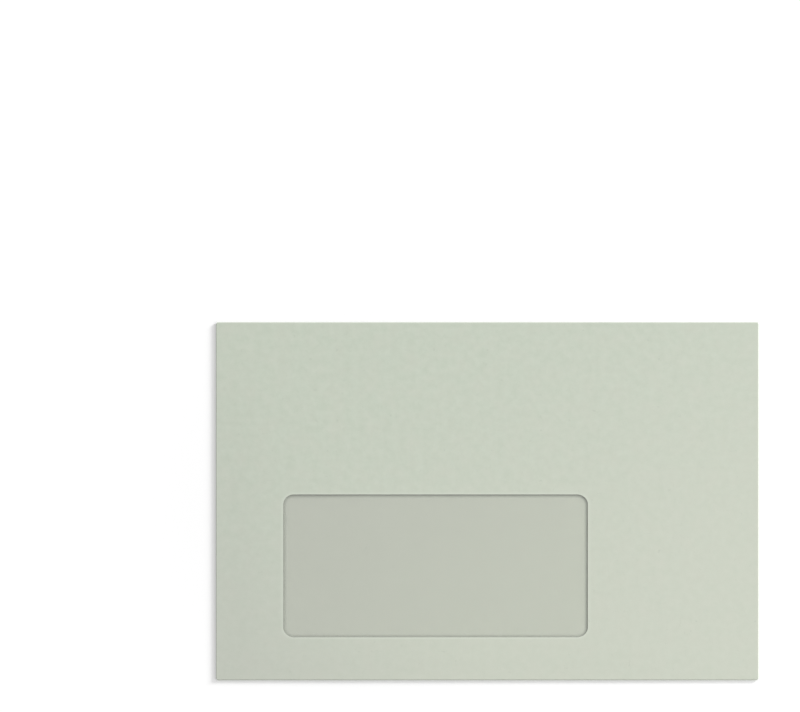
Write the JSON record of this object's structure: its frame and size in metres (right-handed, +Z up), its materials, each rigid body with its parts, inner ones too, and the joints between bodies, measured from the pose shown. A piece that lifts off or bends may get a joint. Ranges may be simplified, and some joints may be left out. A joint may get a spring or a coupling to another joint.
{
  "type": "window envelope",
  "caption": "Rectangular paper envelope, folded shut and lying flat, with a clear film window at its lower left and a gummed seal flap behind.",
  "frame": {"origin": "middle of the footprint, on the surface that the envelope lies on", "axes": "+X along the long side, to the right as the window side is read; +Y towards the fold of the seal flap; +Z up, out of the window side"},
  "size_m": [0.162, 0.114, 0.0009],
  "materials": {
    "paper": "uncoated recycled paper, greenish grey, matte",
    "film": "clear film, smooth, slightly glossy",
    "adhesive": "dried white adhesive, dull",
    "gum": "dry gum, slightly glossy"
  },
  "bodies": {
    "root": {"folded_blank": "paper", "window_film": "film", "window_glue": "adhesive", "seam_glue_left": "adhesive", "seam_glue_right": "adhesive", "seal_gum": "gum"}
  },
  "joints": []
}
